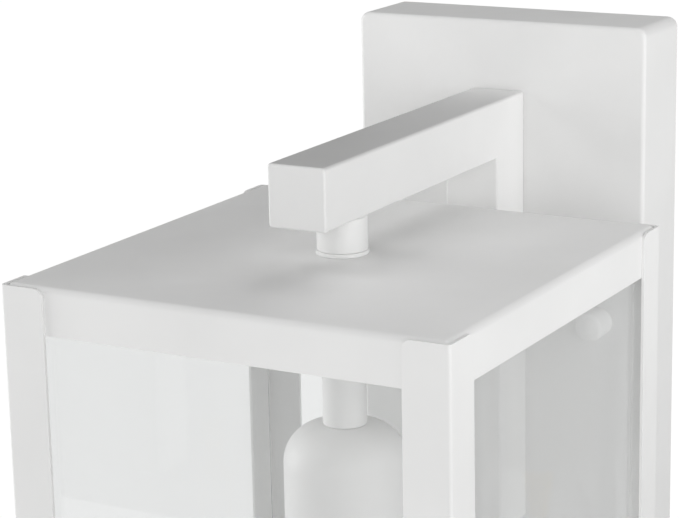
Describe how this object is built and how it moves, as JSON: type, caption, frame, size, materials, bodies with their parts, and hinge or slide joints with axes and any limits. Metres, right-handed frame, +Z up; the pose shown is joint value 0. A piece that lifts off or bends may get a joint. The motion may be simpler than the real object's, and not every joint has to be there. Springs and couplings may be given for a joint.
{
  "type": "wall lantern",
  "caption": "Square glazed lantern with a flat folded roof, hung on a short stem from a square tube bracket on a deep wall plate.",
  "frame": {"origin": "on the wall, at the centre of the two box screws", "axes": "+Z up, -Y out from the wall towards the front, +X to the right seen from the front"},
  "size_m": [0.178, 0.256, 0.4314],
  "materials": {
    "white_paint": "satin powder coat",
    "gasket_foam": "closed-cell foam",
    "zinc_plate": "zinc plated",
    "grommet_rubber": "matte",
    "brass": "turned",
    "clear_glass": "clear float glass",
    "porcelain": "glazed",
    "lamp_insulator": "black glass and solder",
    "nickel_cap": "rolled thread",
    "lamp_glass": "clear lamp glass",
    "filament_glow": "filament rods on a glass stem",
    "lead_black": "wire insulation",
    "lead_white": "wire insulation",
    "ground_green": "green screw",
    "ground_green_wire": "wire insulation",
    "wire_cap_plastic": "moulded"
  },
  "bodies": {
    "fixture": {"wall_plate": "white_paint", "plate_gasket": "gasket_foam", "box_strap": "zinc_plate", "stud_strap": "zinc_plate", "strap_rivet": "zinc_plate", "mounting_studs": "zinc_plate", "stud_lock_nuts": "zinc_plate", "bracket_tube": "white_paint", "arm_end_cap": "white_paint", "leg_end_cap": "white_paint", "bracket_bolts": "zinc_plate", "bolt_washers": "zinc_plate", "bracket_weld_nuts": "zinc_plate", "plate_grommet": "grommet_rubber", "stem_nipple": "brass", "arm_lock_nut": "brass", "arm_washer": "zinc_plate", "stem_top_ring": "white_paint", "upper_stem": "white_paint", "stem_foot_ring": "white_paint", "roof_pan": "white_paint", "post_front_left": "white_paint", "post_front_right": "white_paint", "post_rear_left": "white_paint", "post_rear_right": "white_paint", "base_frame": "white_paint", "glass_front": "clear_glass", "glass_rear": "clear_glass", "glass_left": "clear_glass", "glass_right": "clear_glass", "pane_clips": "zinc_plate", "lower_stem": "white_paint", "socket_cup": "white_paint", "cup_lock_nut": "brass", "socket_yoke": "zinc_plate", "socket_screws": "zinc_plate", "lampholder": "porcelain", "screw_shell": "brass", "contact_leaf": "brass", "lead_live": "lead_black", "lead_neutral": "lead_white", "ground_screw": "ground_green", "ground_lead": "ground_green_wire", "wire_caps": "wire_cap_plastic"},
    "lamp_carrier": {"lamp_tip": "lamp_insulator"},
    "lamp": {"lamp_base": "nickel_cap", "lamp_glass": "lamp_glass", "lamp_filament": "filament_glow"},
    "cap_nut_left": {"cap_nut_left": "white_paint"},
    "cap_nut_right": {"cap_nut_right": "white_paint"}
  },
  "joints": [
    {"name": "lamp_travel", "type": "slide", "parent": "fixture", "child": "lamp_carrier", "axis": [0, 0, -1], "range_m": [0, 0.0182]},
    {"name": "lamp_turn", "type": "hinge", "parent": "lamp_carrier", "child": "lamp", "pos_m": [0, -0.167, -0.1], "axis": [0, 0, -1], "range_deg": [0, 1800]},
    {"name": "cap_nut_left_turn", "type": "hinge", "parent": "fixture", "child": "cap_nut_left", "pos_m": [-0.04445, -0.041, 0], "axis": [0, -1, 0], "continuous": true},
    {"name": "cap_nut_right_turn", "type": "hinge", "parent": "fixture", "child": "cap_nut_right", "pos_m": [0.04445, -0.041, 0], "axis": [0, -1, 0], "continuous": true}
  ],
  "couplings": [
    {"joint": "lamp_travel", "follows": "lamp_turn", "m_per_rad": 0.00057757}
  ]
}
